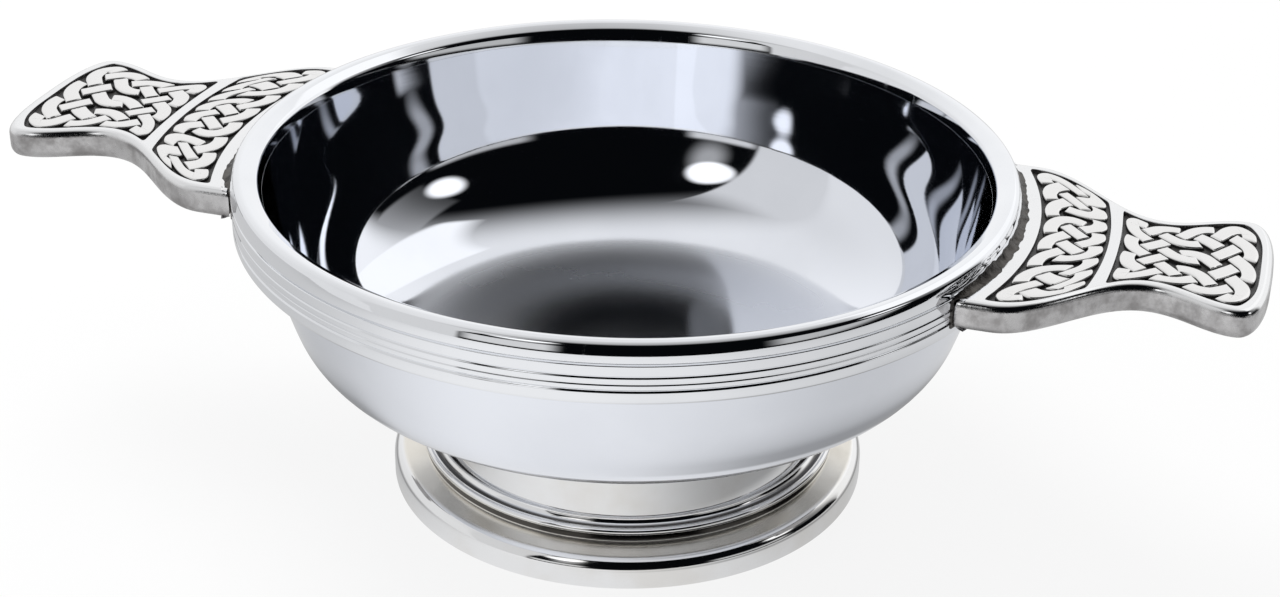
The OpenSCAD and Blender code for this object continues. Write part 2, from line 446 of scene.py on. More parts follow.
under_dish = np.linspace(neck_r, neck_r - NECK_WALL, 6)
foot_section = [
    (FOOT_R - REST_W, 0.0),
    (FOOT_R - FOOT_BREAK, 0.0),
    (FOOT_R, FOOT_BREAK),
]
foot_section += arc((FOOT_R - SHOULDER_R, EDGE_H), SHOULDER_R, 0, 90 - math.degrees(ledge_tilt), 16)
foot_section += [ledge_in]
foot_section += arc(bead_mid, BEAD_R, -math.degrees(bead_turn), 180, 16)
foot_section += arc(cove_mid, COVE_R, 270, 180, 14)
foot_section += neck_line()
foot_section += [(r, dish_height(r, SOLDER_GAP)) for r in under_dish]
foot_section += [(neck_r - NECK_WALL, bead_mid[1])]
foot = turned("turned_foot", eased(foot_section, FOOT_EASE))
stands_for(foot, "foot")

# %% [markdown]
# ## The solder rings
# Solder runs into the corners under the band and on top of the foot and sets in a small hollow fillet. A
# bevel between the pieces would leave a flat there. Both are turned instead, as a clean joint on round
# work is round as well.

# %% Run the solder rings
rim_wall = wall_radius(BAND_Z)
rim_fillet = [(rim_wall, BAND_Z), (wall_radius(BAND_Z - SOLDER_LEG), BAND_Z - SOLDER_LEG)]
rim_fillet += arc((rim_wall + SOLDER_LEG, BAND_Z - SOLDER_LEG), SOLDER_LEG, 180, 90, 10)
rim_seam = turned("rim_solder", rim_fillet)
stands_for(rim_seam, "rim_seam")

solder_mid = (neck_r + SOLDER_LEG, dish_height(neck_r) - SOLDER_LEG)
foot_fillet = arc(solder_mid, SOLDER_LEG, 180, 90, 10)
fillet_out = [neck_r + SOLDER_LEG * share for share in (1.0, 0.66, 0.33, 0.0)]
foot_fillet += [(radius, dish_height(radius)) for radius in fillet_out]
foot_seam = turned("foot_solder", foot_fillet)
stands_for(foot_seam, "foot_seam")

# %% [markdown]
# ## The outline of a lug
# Seen from above a lug is broad at the bowl, drawn in to a waist, and flared again to a blunt tip. The
# same formula as the solid's gives the half width at any distance from the axis, so the border, the sunk
# panels and the ribbons can all follow it.

# %% Draw the lug
WAIST_HALF = 10.0
TIP_HALF = 13.4
WAIST_OUT = 18.0
END_LONG = 3.8
END_POWER = 2.6
BORDER_W = 1.6
ROOT_STRIP = 2.6
BAR_W = 1.4
BROAD_DEEP = 9.0
ROOT_R = RIM_R + SOLDER_GAP
WAIST_X = RIM_R + WAIST_OUT
END_X = LUG_TIP - END_LONG


def lug_half(x):
    """Half width of a lug at distance x from the axis."""
    x = np.asarray(x, float)
    inner = (1 + np.cos(math.pi * np.clip((x - RIM_R) / WAIST_OUT, 0, 1))) / 2
    outer = (1 - np.cos(math.pi * np.clip((x - WAIST_X) / (END_X - WAIST_X), 0, 1))) / 2
    near = WAIST_HALF + (LUG_ROOT_HALF - WAIST_HALF) * inner
    far = WAIST_HALF + (TIP_HALF - WAIST_HALF) * outer
    return np.where(x < WAIST_X, near, far)


def even_loop(points, spacing, rounds):
    """Evenly spaced points round a closed loop, with its corners rubbed round."""
    loop = np.vstack((points, points[:1]))
    steps = distances(loop)
    count = int(steps[-1] / spacing)
    at = np.linspace(0, steps[-1], count, endpoint=False)
    loop = np.column_stack((np.interp(at, steps, loop[:, 0]), np.interp(at, steps, loop[:, 1])))
    for _ in range(rounds):
        loop = 0.5 * loop + 0.25 * (np.roll(loop, 1, 0) + np.roll(loop, -1, 0))
    return loop


def leftward(loop):
    """At each point of a loop, the direction to the left of its run."""
    run = np.roll(loop, -1, 0) - np.roll(loop, 1, 0)
    run /= np.linalg.norm(run, axis=1)[:, None]
    return np.column_stack((-run[:, 1], run[:, 0]))


def moved_in(loop, inset):
    """A loop moved inwards by inset; a loop runs anticlockwise."""
    return loop + inset * leftward(loop)


root_angle = math.asin(LUG_ROOT_HALF / ROOT_R)
side_x = np.linspace(ROOT_R * math.cos(root_angle), END_X, 160)
side = np.column_stack((side_x, lug_half(side_x)))
sweep = np.radians(np.linspace(2, 90, 40))
end = np.column_stack((END_X + END_LONG * np.sin(sweep) ** (2 / END_POWER),
                       TIP_HALF * np.cos(sweep) ** (2 / END_POWER)))
upper = np.vstack((side, end))
lower = upper * (1, -1)
root = np.array([(ROOT_R * math.cos(a), ROOT_R * math.sin(a))
                 for a in np.linspace(root_angle, -root_angle, 120)[1:-1]])
lug_loop = even_loop(np.vstack((lower, upper[::-1][1:], root)), spacing=0.3, rounds=4)
print("lug outline", len(lug_loop), "points")

# %% [markdown]
# ## The plait
# The panels are filled with plaited ribbons, a pattern as old as basket work. It is drawn on a grid:
# every second grid point is a crossing, where one ribbon passes over and the other under, and at the
# panel's edge or at a wall the ribbon turns back. Following one ribbon until it closes gives its path,
# and a warp lays the grid into the curved panel.

# %% Lay out the two panels
BROAD_GRID = (16, 4)
BROAD_WALLS = {(5, 2): "across", (11, 2): "across"}
TIP_GRID = (8, 8)
TIP_WALLS = {(4, 3): "along", (4, 5): "along"}
broad_in = RIM_R + ROOT_STRIP
tip_in = broad_in + BROAD_DEEP + BAR_W


def broad_place(q):
    """Point of the broad panel's grid, laid in a ring round the bowl."""
    radius = broad_in + BROAD_DEEP * q[:, 1] / BROAD_GRID[1]
    angle = np.full(len(q), math.radians(15))
    for _ in range(6):
        angle = np.arcsin((lug_half(radius * np.cos(angle)) - BORDER_W) / radius)
    angle = angle * (2 * q[:, 0] / BROAD_GRID[0] - 1)
    return np.column_stack((radius * np.cos(angle), radius * np.sin(angle)))


def tip_place(q):
    """Point of the tip panel's grid, stretched between the bar and the rounded end."""
    s = 2 * q[:, 1] / TIP_GRID[1] - 1
    near = tip_in * np.cos(s * math.asin((WAIST_HALF - BORDER_W) / tip_in))
    far = LUG_TIP - BORDER_W - (END_LONG - BORDER_W) * np.abs(s) ** 4
    x = near + (far - near) * q[:, 0] / TIP_GRID[0]
    return np.column_stack((x, s * (lug_half(np.minimum(x, END_X)) - BORDER_W)))


def panel_loop(place, grid):
    """The edge of a panel, anticlockwise, with its corners rubbed round."""
    wide, deep = grid
    t = np.linspace(0, 1, 80, endpoint=False)
    zero = np.zeros_like(t)
    corners = np.vstack((
        np.column_stack((t * wide, zero)),
        np.column_stack((zero + wide, t * deep)),
        np.column_stack(((1 - t) * wide, zero + deep)),
        np.column_stack((zero, (1 - t) * deep)),
    ))
    loop = place(corners)
    area = np.sum(loop[:, 0] * np.roll(loop[:, 1], -1) - loop[:, 1] * np.roll(loop[:, 0], -1))
    return even_loop(loop if area > 0 else loop[::-1], spacing=0.25, rounds=6)


panel_loops = [panel_loop(broad_place, BROAD_GRID), panel_loop(tip_place, TIP_GRID)]
print("panel edges", [len(loop) for loop in panel_loops], "points")

# %% [markdown]
# ## The body of a lug
# A lug is a casting with a rubbed top edge and a rounder lower one. It is built as rings of the outline
# moved inwards step by step. The flat top is filled between the last ring and the edges of the panels,
# and each panel's wall goes down to the ground, so the sunk parts are real depth and not a bump map.

# %% Stack the rings of a lug
TOP_EASE = 1.0
LOW_EASE = 1.3
PANEL_EASE = 0.12


def join_rings(faces, first, second, count):
    """Quads between two rings of the same count that start at the given points."""
    for k in range(count):
        n = (k + 1) % count
        faces.append((first + k, first + n, second + n, second + k))


def quarter(steps):
    """Angles through a quarter turn, in radians."""
    return np.radians(np.linspace(0, 90, steps + 1))


def lug_levels():
    """Insets and heights of the rings, from the flat underside to the flat top."""
    low = [(LOW_EASE * (1 - math.sin(a)), LUG_UNDER + LOW_EASE * (1 - math.cos(a))) for a in quarter(8)]
    high = [(TOP_EASE * (1 - math.cos(a)), LUG_TOP - TOP_EASE * (1 - math.sin(a))) for a in quarter(8)]
    return low + high


def panel_levels():
    """Insets and heights of a panel's rings, from the eased top edge down to the ground."""
    edge = [(PANEL_EASE * (math.sin(a) - 1), LUG_TOP - PANEL_EASE * (1 - math.cos(a))) for a in quarter(4)]
    return edge + [(0.0, GROUND_Z)]


def stack_rings(points, faces, loop, levels):
    """Adds a ring of the loop at each level, joins them, and gives the first and the last ring."""
    starts = []
    for inset, z in levels:
        starts.append(len(points))
        points.extend((x, y, z) for x, y in moved_in(loop, inset))
    for first, second in zip(starts, starts[1:]):
        join_rings(faces, first, second, len(loop))
    return [range(start, start + len(loop)) for start in (starts[0], starts[-1])]


print("a lug's side has", len(lug_levels()), "rings")

# %% Close the lug body


def fill_between(shape, rings):
    """Fills the flat area inside the first ring and outside the others, and gives the faces."""
    edges = []
    for ring in rings:
        loop = [shape.verts[k] for k in ring]
        for pair in zip(loop, loop[1:] + loop[:1]):
            edges.append(shape.edges.get(pair) or shape.edges.new(pair))
    made = bmesh.ops.triangle_fill(shape, use_beauty=True, edges=edges)["geom"]
    return [part for part in made if isinstance(part, bmesh.types.BMFace)]


def lug_body(name):
    """The casting: its first finish is the pewter, its second the blackened panels."""
    points = []
    faces = []
    under, top = stack_rings(points, faces, lug_loop, lug_levels())
    outer_faces = len(faces)
    top_rings = [top]
    caps = [([under], 0), (top_rings, 0)]
    for loop in panel_loops:
        edge, ground = stack_rings(points, faces, loop, panel_levels())
        top_rings.append(edge)
        caps.append(([ground], 1))
    mesh, shape = open_mesh(name, points, faces)
    shape.verts.ensure_lookup_table()
    for face in shape.faces:
        face.material_index = 0 if face.index < outer_faces else 1
    for cap_rings, finish in caps:
        for face in fill_between(shape, cap_rings):
            face.material_index = finish
    body = close_mesh(name, mesh, shape, crease=40.0)
    even = body.modifiers.new("flat_tops_stay_flat", "WEIGHTED_NORMAL")
    even.keep_sharp = True
    return body


def opposite(piece, name):
    """The other lug's twin of a piece, turned half way round the axis."""
    twin = put(name, piece.data.copy())
    twin.data.transform(Matrix.Rotation(math.pi, 4, "Z"))
    for step in piece.modifiers:
        copy = twin.modifiers.new(step.name, step.type)
        copy.keep_sharp = True
    return twin


right_body = lug_body("right_lug_cast")
left_body = opposite(right_body, "left_lug_cast")
stands_for(right_body, "right_lug")
stands_for(left_body, "left_lug")

# %% [markdown]
# ## The blacking
# The ground of the panels is blackened so that the polished ribbons stand out. Black paint on the casting
# would do from afar. But it is a thin layer with its own edge, so it is a flat slab that fills the panel
# from wall to wall.

# %% Lay the blacking
FILL_PLAY = 0.03


def blacking(name):
    """The black fill of both panels of a lug."""
    points = []
    faces = []
    for loop in panel_loops:
        low = len(points)
        edge = moved_in(loop, FILL_PLAY)
        points.extend((x, y, GROUND_Z) for x, y in edge)
        points.extend((x, y, FILL_Z) for x, y in edge)
        count = len(loop)
        join_rings(faces, low, low + count, count)
        faces.append(tuple(range(low + count - 1, low - 1, -1)))
        faces.append(tuple(range(low + count, low + 2 * count)))
    return finish_mesh(name, points, faces)


right_black = blacking("right_lug_ground")
left_black = opposite(right_black, "left_lug_ground")
stands_for(right_black, "right_lug_blacking")
stands_for(left_black, "left_lug_blacking")

# %% [markdown]
# ## The ribbons
# In a plait the ribbons run over and under each other without an end. They could be drawn by hand as
# curves, but then every crossing has to be right. A walk over the grid does it by itself: it starts at an
# unused step, turns at the walls, goes over and under in turn, and ends where it began.

# %% Follow the ribbons
TURN_SHARE = 0.60


def turn_at(grid, walls, i, j):
    """How a ribbon turns at a grid point: across the run, along it, or not at all."""
    if i in (0, grid[0]):
        return "across"
    if j in (0, grid[1]):
        return "along"
    return walls.get((i, j))


def follow(grid, walls):
    """All closed ribbons, each a list of (point, direction, passes under)."""
    unused = set()
    for i in range(grid[0] + 1):
        for j in range(grid[1] + 1):
            if (i + j) % 2:
                for step in ((1, 1), (1, -1), (-1, 1), (-1, -1)):
                    if 0 <= i + step[0] <= grid[0] and 0 <= j + step[1] <= grid[1]:
                        unused.add((i, j) + step)
    ribbons = []
    while unused:
        i, j, di, dj = min(unused)
        ribbon = []
        while (i, j, di, dj) in unused:
            unused.discard((i, j, di, dj))
            i, j = i + di, j + dj
            unused.discard((i, j, -di, -dj))
            turn = turn_at(grid, walls, i, j)
            if turn == "across":
                ribbon.append(((i - di * TURN_SHARE, j), (0, dj), False))
                di = -di
            elif turn == "along":
                ribbon.append(((i, j - dj * TURN_SHARE), (di, 0), False))
                dj = -dj
            else:
                lean = 1 if i % 2 == 0 else -1
                ribbon.append(((i, j), (di, dj), di * dj != lean))
        ribbons.append(ribbon)
    return ribbons


plaits = [
    (broad_place, follow(BROAD_GRID, BROAD_WALLS)),
    (tip_place, follow(TIP_GRID, TIP_WALLS)),
]
print("closed ribbons", [len(ribbons) for place, ribbons in plaits])

# %% [markdown]
# ## The path of a ribbon
# From one crossing to the next a ribbon bends like wire. A Bezier curve object would bend as well, but
# plain points can be warped into the panel. Where a ribbon passes under another it dips to the ground and
# comes up again just beyond, which cuts the short dark notches that make a plait readable.

# %% Bend the path
DIP_FROM = 0.60
DIP_TO = 0.47
RIBBON_STEPS = 14


def along_curve(t, start, leaving, end, arriving):
    """A point on a smooth curve between two points that it leaves and reaches in given directions."""
    near = (2 * t ** 3 - 3 * t ** 2 + 1) * start + (t ** 3 - 2 * t ** 2 + t) * leaving
    return near + (3 * t ** 2 - 2 * t ** 3) * end + (t ** 3 - t ** 2) * arriving


def ribbon_path(ribbon):
    """Evenly sampled grid points of a ribbon and how far it dips at each."""
    path = []
    dips = []
    for k, (start, run, under) in enumerate(ribbon):
        end_point, end_run, end_under = ribbon[(k + 1) % len(ribbon)]
        p0 = np.array(start, float)
        p1 = np.array(end_point, float)
        chord = np.linalg.norm(p1 - p0)
        m0 = np.array(run, float) / np.linalg.norm(run) * chord
        m1 = np.array(end_run, float) / np.linalg.norm(end_run) * chord
        for t in np.arange(RIBBON_STEPS) / RIBBON_STEPS:
            q = along_curve(t, p0, m0, p1, m1)
            dip = 0.0
            for crossing, low in ((p0, under), (p1, end_under)):
                if low:
                    s = np.clip((DIP_FROM - np.linalg.norm(q - crossing)) / (DIP_FROM - DIP_TO), 0, 1)
                    dip = max(dip, s * s * (3 - 2 * s))
            path.append(q)
            dips.append(dip)
    return np.array(path), np.array(dips)


print("the first ribbon has", len(ribbon_path(plaits[0][1][0])[0]), "points")

# %% [markdown]
# ## The body of a ribbon
# Each ribbon is one closed strip with a flat polished top and eased shoulders, wide enough that only
# narrow dark gaps stay between. A curve with a bevel would twist in the turns, so the section is swept in
# the grid, where it stays level, and each point is then laid in its panel.

# %% Sweep the ribbons
RIBBON_HALF = 0.43
RIBBON_PLAY = 0.02
RIBBON_SINK = 0.1
RIBBON_THIN = 0.05
SHOULDER = [(1.0, None), (1.0, 0.30), (0.97, 0.10), (0.90, 0.03), (0.76, 0.0)]
RIBBON_SECTION = [(-share, drop) for share, drop in SHOULDER] + SHOULDER[::-1]


def add_ribbon(points, faces, ribbon, place):
    """Sweeps the ribbon's section along its path, in the panel's own place."""
    path, dips = ribbon_path(ribbon)
    aside = leftward(path)
    visible = LUG_TOP - FILL_Z
    first = len(points)
    bottom = GROUND_Z + RIBBON_SINK
    for share, drop in RIBBON_SECTION:
        flat = place(path + aside * share * RIBBON_HALF)
        if drop is None:
            z = np.full(len(path), bottom)
        else:
            z = np.maximum(LUG_TOP - RIBBON_PLAY - drop - dips * visible, bottom + RIBBON_THIN)
        points.extend(np.column_stack((flat, z)).tolist())
    count = len(path)
    width = len(RIBBON_SECTION)
    for s in range(width):
        join_rings(faces, first + s * count, first + (s + 1) % width * count, count)


def plait(name):
    """All ribbons of both panels of a lug."""
    points = []
    faces = []
    for place, ribbons in plaits:
        for ribbon in ribbons:
            add_ribbon(points, faces, ribbon, place)
    return finish_mesh(name, points, faces, crease=60.0)


right_ribbons = plait("right_lug_ribbons")
left_ribbons = opposite(right_ribbons, "left_lug_ribbons")
for piece in (right_ribbons, left_ribbons):
    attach(piece, "root")
    print(piece.name, len(piece.data.polygons), "faces")

# %% [markdown]
# ## The solder along a lug
# Between a lug and the band the solder was left as it ran: a narrow, rough, dark line. A swept fillet
# whose size wanders along the joint looks like that, and a little seeded unevenness keeps it the same
# each time.

# %% Run the lug solder
SEAM_LEG = 1.0
SEAM_STEPS = 220
SEAM_SEED = 7
SEAM_WANDER = 0.10
SEAM_END = 0.05
SEAM_BITE = 0.05
SEAM_SINK = 0.2


def lug_solder(name):
    """The uneven fillet along the root of a lug, with the film below it."""
    luck = np.random.default_rng(SEAM_SEED)
    along_joint = np.linspace(-root_angle, root_angle, SEAM_STEPS)
    wander = np.convolve(luck.normal(0, 1, SEAM_STEPS + 20), np.hanning(13), "valid")[:SEAM_STEPS]
    legs = SEAM_LEG * (1 + SEAM_WANDER * np.clip(wander, -2, 2))
    legs = legs * np.clip((root_angle - np.abs(along_joint)) / SEAM_END, 0.25, 1)
    points = []
    faces = []
    for angle, leg in zip(along_joint, legs):
        section = [(RIM_R - SEAM_BITE, LUG_UNDER + SEAM_SINK), (RIM_R - SEAM_BITE, LUG_TOP + leg)]
        section += arc((RIM_R + leg, LUG_TOP + leg), leg, 180, 270, 6)
        section += [(RIM_R + leg, LUG_TOP - SEAM_SINK), (ROOT_R + SEAM_BITE, LUG_UNDER + SEAM_SINK)]
        points.extend((r * math.cos(angle), r * math.sin(angle), z) for r, z in section)
    width = len(section)
    for k in range(SEAM_STEPS - 1):
        join_rings(faces, k * width, (k + 1) * width, width)
    faces.append(tuple(range(width)))
    faces.append(tuple(range((SEAM_STEPS - 1) * width, SEAM_STEPS * width)))
    return finish_mesh(name, points, faces, crease=50.0)


right_seam = lug_solder("right_lug_solder")
left_seam = opposite(right_seam, "left_lug_solder")
stands_for(right_seam, "right_lug_seam")
stands_for(left_seam, "left_lug_seam")

# %% [markdown]
# ## Words for the nodes
# A finish is a small sum over the surface: a mask here, a weight there. It could be wired by hand in the
# shader editor, but in plain words, such as times, spread and between, the sum reads like a recipe.

# %% Node helpers


def node(tree, kind, **settings):
    """A new node of a kind, with its settings."""
    made = tree.nodes.new(kind)
    for label, value in settings.items():
        setattr(made, label, value)
    return made


def feed(tree, value, socket):
    """Gives a socket a number, a colour or another socket's value."""
    if isinstance(value, bpy.types.NodeSocket):
        tree.links.new(value, socket)
    else:
        socket.default_value = (*value, 1.0) if isinstance(value, tuple) else value


def calc(tree, operation, *values):
    """A Math node; each value is a number or a socket."""
    made = node(tree, "ShaderNodeMath", operation=operation)
    for socket, value in zip(made.inputs, values):
        feed(tree, value, socket)
    return made.outputs[0]


def times(tree, *values):
    """The product of all values."""
    return reduce(lambda so_far, value: calc(tree, "MULTIPLY", so_far, value), values)


def most(tree, *values):
    """The largest of all values."""
    return reduce(lambda so_far, value: calc(tree, "MAXIMUM", so_far, value), values)


def weighed(tree, base, *shares):
    """A base value plus each mask times its weight."""
    return reduce(lambda so_far, share: calc(tree, "ADD", times(tree, *share), so_far), shares, base)


def spread(tree, value, low, high, to_low=0.0, to_high=1.0):
    """Maps a value smoothly from one range to another and holds it there."""
    made = node(tree, "ShaderNodeMapRange", clamp=True, interpolation_type="SMOOTHSTEP")
    feed(tree, value, made.inputs["Value"])
    limits = {"From Min": low, "From Max": high, "To Min": to_low, "To Max": to_high}
    for label, number in limits.items():
        made.inputs[label].default_value = number
    return made.outputs["Result"]


def between(tree, value, rise, fall, unit=1.0):
    """A mask that rises over one pair of limits and falls over another."""
    risen = spread(tree, value, rise[0] * unit, rise[1] * unit)
    return times(tree, risen, spread(tree, value, fall[0] * unit, fall[1] * unit, 1.0, 0.0))


print("sums:", ", ".join(word.__name__ for word in (calc, times, most, weighed, spread, between)))

# %% Where a spot lies


def axes(tree):
    """X, Y and Z of the spot, in metres from the middle of the foot."""
    parts = node(tree, "ShaderNodeSeparateXYZ")
    feed(tree, node(tree, "ShaderNodeTexCoord").outputs["Object"], parts.inputs[0])
    return parts.outputs


def distance(tree, first, second):
    """The long side of a square corner with these two sides."""
    return calc(tree, "SQRT", calc(tree, "ADD", times(tree, first, first), times(tree, second, second)))


def bearing_of(tree, x, y):
    """Degrees round the axis from the front, positive to the right."""
    return calc(tree, "DEGREES", calc(tree, "ARCTAN2", x, times(tree, y, -1.0)))


def noise(tree, at, scale, detail, roughness=0.5, row=False):
    """Cloudy noise at a spot, or noise along a row."""
    made = node(tree, "ShaderNodeTexNoise", noise_dimensions="1D" if row else "3D")
    feed(tree, at, made.inputs["W" if row else "Vector"])
    for label, value in (("Scale", scale), ("Detail", detail), ("Roughness", roughness)):
        feed(tree, value, made.inputs[label])
    return made.outputs["Fac"]


print("places:", ", ".join(word.__name__ for word in (axes, distance, bearing_of, noise)))

# %% [markdown]
# ## Effects shared by the finishes
# Three effects turn up on more than one finish: the fine rings that a turning tool leaves, the faint haze
# and hairlines of handling, and the grainy skin of a casting. Each could be copied into every material,
# but as a node group one improvement shows everywhere. The groups only give values over the surface.

# %% Rings left by turning


def new_group(name, setting, value, outputs):
    """An empty group with one setting; gives the group, the setting's socket and the outputs."""
    group = bpy.data.node_groups.new(name, "ShaderNodeTree")
    asked = group.interface.new_socket(setting, in_out="INPUT", socket_type="NodeSocketFloat")
    asked.default_value = value
    for label in outputs:
        group.interface.new_socket(label, in_out="OUTPUT", socket_type="NodeSocketFloat")
    return group, group.nodes.new("NodeGroupInput").outputs[0], group.nodes.new("NodeGroupOutput").inputs


WALL_STRETCH = -1.3
BROAD_RINGS = 420.0
rings, per_metre, given = new_group("turning_rings", "Rings per metre", 2500.0, ("Height", "Broad"))
x, y, z = axes(rings)
run_along = calc(rings, "ADD", distance(rings, x, y), times(rings, z, WALL_STRETCH))
fine = noise(rings, times(rings, run_along, per_metre), scale=1.0, detail=3.0, row=True)
feed(rings, fine, given["Height"])
feed(rings, noise(rings, run_along, BROAD_RINGS, detail=1.0, row=True), given["Broad"])
print(rings.name, len(rings.nodes), "nodes")

# %% Haze and hairlines of handling
HAIR_LONG = (16.0, 45.0)
haze, size, given = new_group("handling", "Haze size", 60.0, ("Haze", "Hairline"))
spot = node(haze, "ShaderNodeTexCoord").outputs["Object"]
feed(haze, spread(haze, noise(haze, spot, size, detail=5.0), 0.42, 0.70), given["Haze"])
hairs = []
for tilt, hair_fine in ((0.6, 900.0), (2.1, 760.0)):
    turn = node(haze, "ShaderNodeMapping")
    turn.inputs["Rotation"].default_value = (tilt, 0.4 * tilt, 1.3 * tilt)
    turn.inputs["Scale"].default_value = (hair_fine, *HAIR_LONG)
    feed(haze, spot, turn.inputs["Vector"])
    lines = noise(haze, turn.outputs["Vector"], scale=1.0, detail=2.0)
    hairs.append(spread(haze, lines, 0.66, 0.74))
feed(haze, most(haze, *hairs), given["Hairline"])
print(haze.name, len(haze.nodes), "nodes")

# %% Skin of a casting
BLOTCHES = 320.0
skin, size, given = new_group("cast_skin", "Grain size", 1100.0, ("Height", "Mottle"))
spot = node(skin, "ShaderNodeTexCoord").outputs["Object"]
feed(skin, noise(skin, spot, size, detail=4.0, roughness=0.6), given["Height"])
blotch = noise(skin, spot, BLOTCHES, detail=6.0, roughness=0.62)
feed(skin, spread(skin, blotch, 0.35, 0.68), given["Mottle"])
print(skin.name, len(skin.nodes), "nodes")

# %% [markdown]
# ## The polished rim
# Pewter is a grey white metal, mostly tin. The band is buffed until it mirrors the room. One plain
# roughness would look like chrome, so the haze and hairlines of handling dull it a little here and there,
# and the tool's rings give the faintest relief.

# %% Polished pewter


def new_finish(name, colour, roughness, metallic=1.0):
    """A material, its nodes and the inputs of its shader, with plain values to start from."""
    made = bpy.data.materials.new(name)
    made.use_nodes = True
    made.diffuse_color = (*colour, 1.0)
    surface = made.node_tree.nodes["Principled BSDF"].inputs
    for label, value in (("Base Color", colour), ("Metallic", metallic), ("Roughness", roughness)):
        feed(made.node_tree, value, surface[label])
    return made, made.node_tree, surface


def lay(tree, effect, setting=None):
    """Places an effect in a material, with its own setting if there is one, and gives its outputs."""
    made = node(tree, "ShaderNodeGroup", node_tree=effect)
    if setting is not None:
        made.inputs[0].default_value = setting
    return made.outputs


def blend(tree, mask, first, second, kind="RGBA"):
    """The first colour or value where the mask is 0, the second where it is 1."""
    made = node(tree, "ShaderNodeMix", data_type=kind)
    for label, value in (("Factor", mask), ("A", first), ("B", second)):
        feed(tree, value, made.inputs[label])
    return made.outputs["Result"]


def bump(tree, surface, height, deep):
    """Relief from a height; deep is in millimetres."""
    made = node(tree, "ShaderNodeBump")
    made.inputs["Strength"].default_value = 1.0
    made.inputs["Distance"].default_value = deep * MM
    feed(tree, height, made.inputs["Height"])
    feed(tree, made.outputs["Normal"], surface["Normal"])


def wear(pieces, *materials):
    """Gives the pieces their materials."""
    for piece in pieces:
        piece.data.materials.clear()
        for material in materials:
            piece.data.materials.append(material)
        print(piece.name, "wears", ", ".join(material.name for material in materials))


TIN = (0.86, 0.87, 0.89)
TIN_ROUGH = 0.04
BUFFED = 0.03
MIRROR_HAZE = 55.0
MIRROR_MARKS = 0.0004
polished, tree, surface = new_finish("mirror_pewter", TIN, TIN_ROUGH)
touch = lay(tree, haze, MIRROR_HAZE)
tone = blend(tree, touch["Haze"], (0.87, 0.885, 0.915), (0.83, 0.845, 0.875))
feed(tree, tone, surface["Base Color"])
dull = weighed(tree, BUFFED, (touch["Haze"], 0.025), (touch["Hairline"], 0.06))
feed(tree, dull, surface["Roughness"])
bump(tree, surface, lay(tree, rings)["Height"], MIRROR_MARKS)
wear((rim_band,), polished)

# %% [markdown]
# ## The spun bowl
# The sheet is as bright as the band, but a ring on the bowl's floor, where the polishing cloth reaches
# less, stays satin and blurs what it mirrors. A second material for that ring would leave a hard edge, so
# a mask by the distance from the axis raises the roughness softly.

# %% Spun pewter
SATIN = 0.24
spun, tree, surface = new_finish("spun_pewter", TIN, TIN_ROUGH)
touch = lay(tree, haze, MIRROR_HAZE)
tone = blend(tree, touch["Haze"], (0.86, 0.885, 0.945), (0.825, 0.85, 0.91))
feed(tree, tone, surface["Base Color"])
x, y, z = axes(tree)
from_middle = distance(tree, x, y)
satin_ring = times(tree, spread(tree, from_middle, 10.0 * MM, 22.0 * MM, 0.3, 1.0),
                   spread(tree, from_middle, 30.0 * MM, 33.0 * MM, 1.0, 0.0))
dull = weighed(tree, BUFFED, (touch["Haze"], 0.02), (satin_ring, SATIN))
feed(tree, dull, surface["Roughness"])
bump(tree, surface, lay(tree, rings)["Height"], MIRROR_MARKS)
wear((bowl,), spun)

# %% [markdown]
# ## The turned foot
# The foot keeps its turning marks. Its ledge has yellowed a little and gone satin. The groove and the start
# of the cove are painted almost black: painted shade in the groove and a painted dark reflection in the
# cove. Painted textures would need a flat layout, but all of this follows the lathe, so masks by height and
# by distance from the axis put it in place.

# %% Turned pewter
LEDGE_LIMITS = (4.10, 4.30), (4.72, 4.85)
GROOVE_LIMITS = (4.70, 4.80), (5.45, 5.58)
COVE_LIMITS = (5.96, 6.02), (6.12, 6.35)
COVE_REACH = 27.2, 27.4
# Colour of the painted shade in the groove and the cove, and how fully it covers them.
PAINTED_SHADE_COLOUR = (0.05, 0.046, 0.043)
PAINTED_SHADE_COVERS = 0.92
turned_finish, tree, surface = new_finish("foot_pewter", (0.80, 0.79, 0.76), 0.1)
touch = lay(tree, haze, 90.0)
tool = lay(tree, rings, 3200.0)
x, y, z = axes(tree)
on_ledge = between(tree, z, *LEDGE_LIMITS, MM)
in_groove = between(tree, z, *GROOVE_LIMITS, MM)
not_bead = spread(tree, distance(tree, x, y), COVE_REACH[0] * MM, COVE_REACH[1] * MM, 1.0, 0.0)
in_cove = times(tree, between(tree, z, *COVE_LIMITS, MM), not_bead)
# Painted shade: the groove and the start of the cove are painted almost black.
painted_shade = times(tree, most(tree, in_groove, in_cove), PAINTED_SHADE_COVERS)
clean = blend(tree, touch["Haze"], (0.87, 0.875, 0.885), (0.81, 0.80, 0.785))
warm = blend(tree, touch["Haze"], (0.79, 0.76, 0.70), (0.65, 0.62, 0.56))
tone = blend(tree, painted_shade, blend(tree, on_ledge, clean, warm), PAINTED_SHADE_COLOUR)
feed(tree, tone, surface["Base Color"])
dull = weighed(tree, 0.04, (tool["Broad"], 0.04), (touch["Haze"], 0.02), (on_ledge, 0.14))
feed(tree, dull, surface["Roughness"])
bump(tree, surface, tool["Height"], 0.0012)
wear((foot,), turned_finish)
